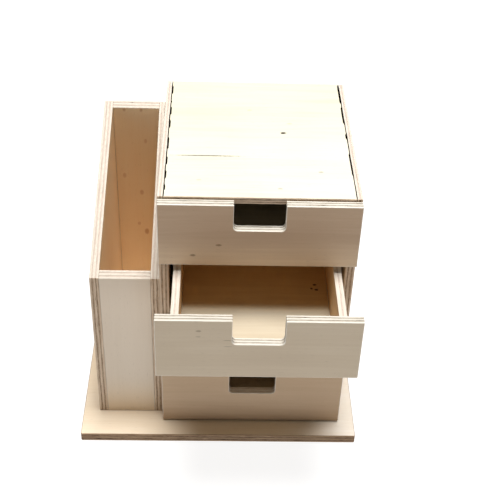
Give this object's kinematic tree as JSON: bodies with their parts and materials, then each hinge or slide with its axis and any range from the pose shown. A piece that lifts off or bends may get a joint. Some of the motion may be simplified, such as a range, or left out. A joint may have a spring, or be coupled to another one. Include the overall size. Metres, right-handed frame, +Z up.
{
  "type": "desktop drawer organiser",
  "caption": "Raw plywood desk organiser: a tall open bin with a sloping rim beside a cabinet of sliding drawers with finger notches, on one base board.",
  "frame": {"origin": "centre of the base board's underside", "axes": "+Z up, the drawers face and pull out along -Y, +X towards the cabinet, with the bin on the -X side"},
  "size_m": [0.255, 0.2774, 0.261],
  "materials": {
    "base_plywood": "raw plywood, sanded, unvarnished",
    "bin_plywood": "raw plywood, sanded, unvarnished",
    "cabinet_plywood": "raw plywood, sanded, unvarnished",
    "front_plywood": "raw plywood, sanded, unvarnished",
    "drawer_box_plywood": "raw plywood, sanded, unvarnished"
  },
  "bodies": {
    "carcass": {"base_board": "base_plywood", "bin_left_wall": "bin_plywood", "bin_right_wall": "bin_plywood", "bin_front_wall": "bin_plywood", "bin_back_wall": "bin_plywood", "cabinet_left_side": "cabinet_plywood", "cabinet_right_side": "cabinet_plywood", "cabinet_top": "cabinet_plywood", "cabinet_back": "cabinet_plywood", "cabinet_floor": "cabinet_plywood", "shelf_lower": "cabinet_plywood", "shelf_middle": "cabinet_plywood", "shelf_upper": "cabinet_plywood"},
    "drawer_1": {"drawer_1_front": "front_plywood", "drawer_1_left_side": "drawer_box_plywood", "drawer_1_right_side": "drawer_box_plywood", "drawer_1_floor": "drawer_box_plywood", "drawer_1_back": "drawer_box_plywood"},
    "drawer_2": {"drawer_2_front": "front_plywood", "drawer_2_left_side": "drawer_box_plywood", "drawer_2_right_side": "drawer_box_plywood", "drawer_2_floor": "drawer_box_plywood", "drawer_2_back": "drawer_box_plywood"},
    "drawer_3": {"drawer_3_front": "front_plywood", "drawer_3_left_side": "drawer_box_plywood", "drawer_3_right_side": "drawer_box_plywood", "drawer_3_floor": "drawer_box_plywood", "drawer_3_back": "drawer_box_plywood"},
    "drawer_4": {"drawer_4_front": "front_plywood", "drawer_4_left_side": "drawer_box_plywood", "drawer_4_right_side": "drawer_box_plywood", "drawer_4_floor": "drawer_box_plywood", "drawer_4_back": "drawer_box_plywood"}
  },
  "joints": [
    {"name": "drawer_1_slide", "type": "slide", "parent": "carcass", "child": "drawer_1", "axis": [0, -1, 0], "range_m": [0, 0.14]},
    {"name": "drawer_2_slide", "type": "slide", "parent": "carcass", "child": "drawer_2", "axis": [0, -1, 0], "range_m": [-0.067, 0.073]},
    {"name": "drawer_3_slide", "type": "slide", "parent": "carcass", "child": "drawer_3", "axis": [0, -1, 0], "range_m": [0, 0.14]},
    {"name": "drawer_4_slide", "type": "slide", "parent": "carcass", "child": "drawer_4", "axis": [0, -1, 0], "range_m": [0, 0.14]}
  ]
}
